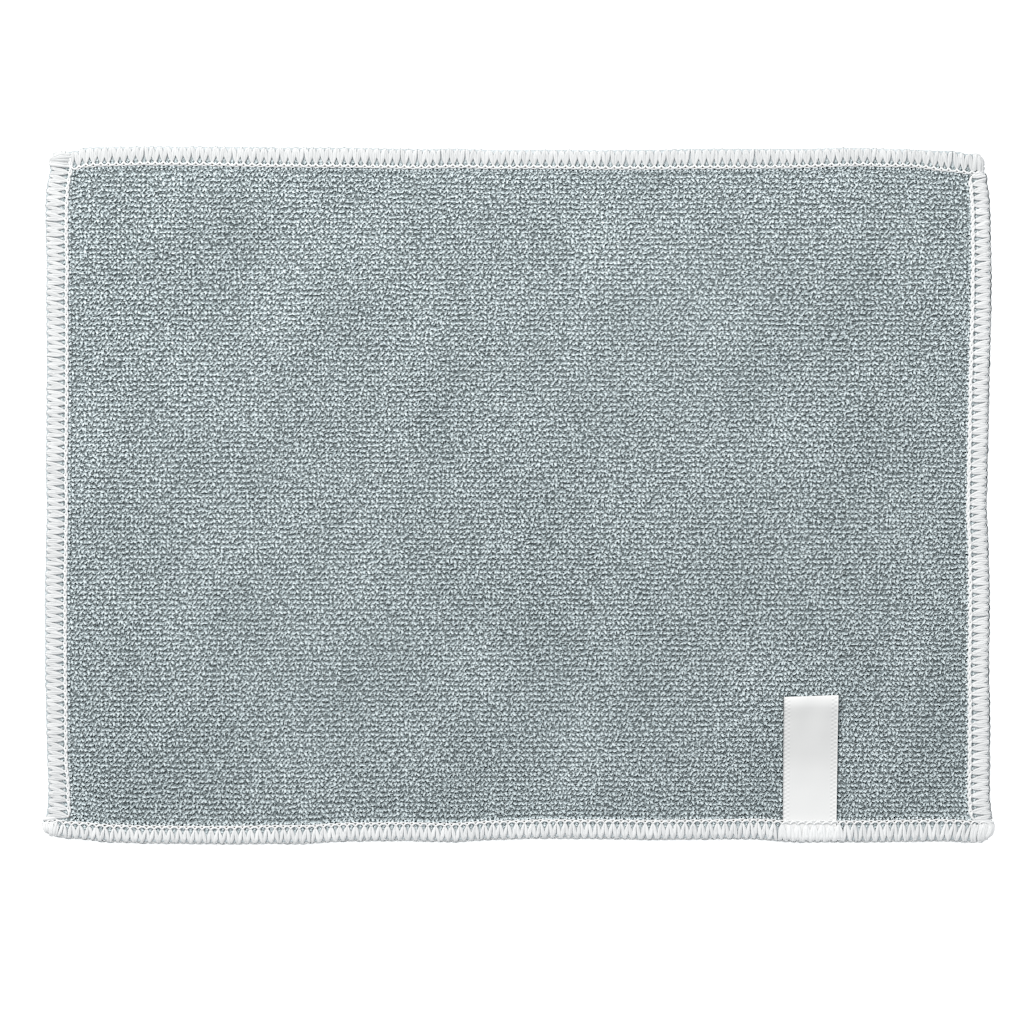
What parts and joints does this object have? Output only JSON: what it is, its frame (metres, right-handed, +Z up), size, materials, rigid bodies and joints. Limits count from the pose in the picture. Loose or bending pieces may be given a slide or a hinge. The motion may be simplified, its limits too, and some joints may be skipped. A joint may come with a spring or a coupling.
{
  "type": "microfibre cleaning cloth",
  "caption": "Flat rectangular microfibre terry cloth with a white overlocked edge and a small folded satin label caught in a long side.",
  "frame": {"origin": "middle of the cloth's bounding box, on the underside it lies on", "axes": "+X along the long side, +Y along the short side away from the label, +Z up through the thickness"},
  "size_m": [0.3018, 0.2214, 0.0047],
  "materials": {
    "terry": "grey knitted microfibre terry, matt, with short loops",
    "thread": "white textured overlocking thread, matt",
    "ribbon": "white satin ribbon, soft sheen, woven selvedges"
  },
  "bodies": {
    "root": {"terry_panel": "terry", "overlock_edging": "thread", "care_label": "ribbon"}
  },
  "joints": []
}
